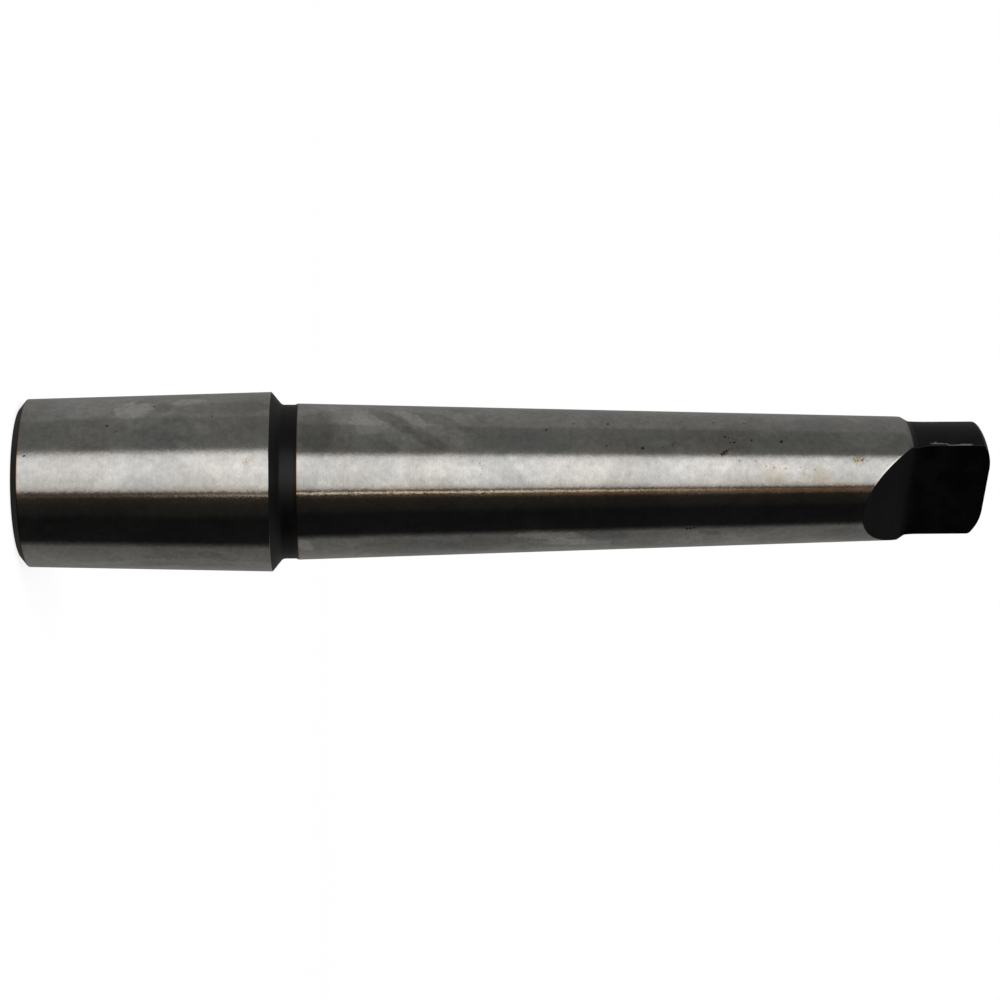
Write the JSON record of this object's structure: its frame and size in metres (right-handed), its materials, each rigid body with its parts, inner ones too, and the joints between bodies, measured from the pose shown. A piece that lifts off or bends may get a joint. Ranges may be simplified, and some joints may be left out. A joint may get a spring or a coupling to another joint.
{
  "type": "drill chuck arbor",
  "caption": "Drill chuck arbor: a self-holding taper shank with a flat tang at one end and a short chuck taper at the other, with a neck groove between them.",
  "frame": {"origin": "centre of the chuck taper's front face, which the arbor stands on", "axes": "+Z along the axis towards the tang; +Y and -Y are the normals of the tang's two flats"},
  "size_m": [0.0207, 0.0208, 0.1115],
  "materials": {
    "ground_steel": "tapers cylindrically ground and lightly stained; chamfers, neck, shoulder and tang left black oxide"
  },
  "bodies": {
    "root": {"arbor": "ground_steel"}
  },
  "joints": []
}
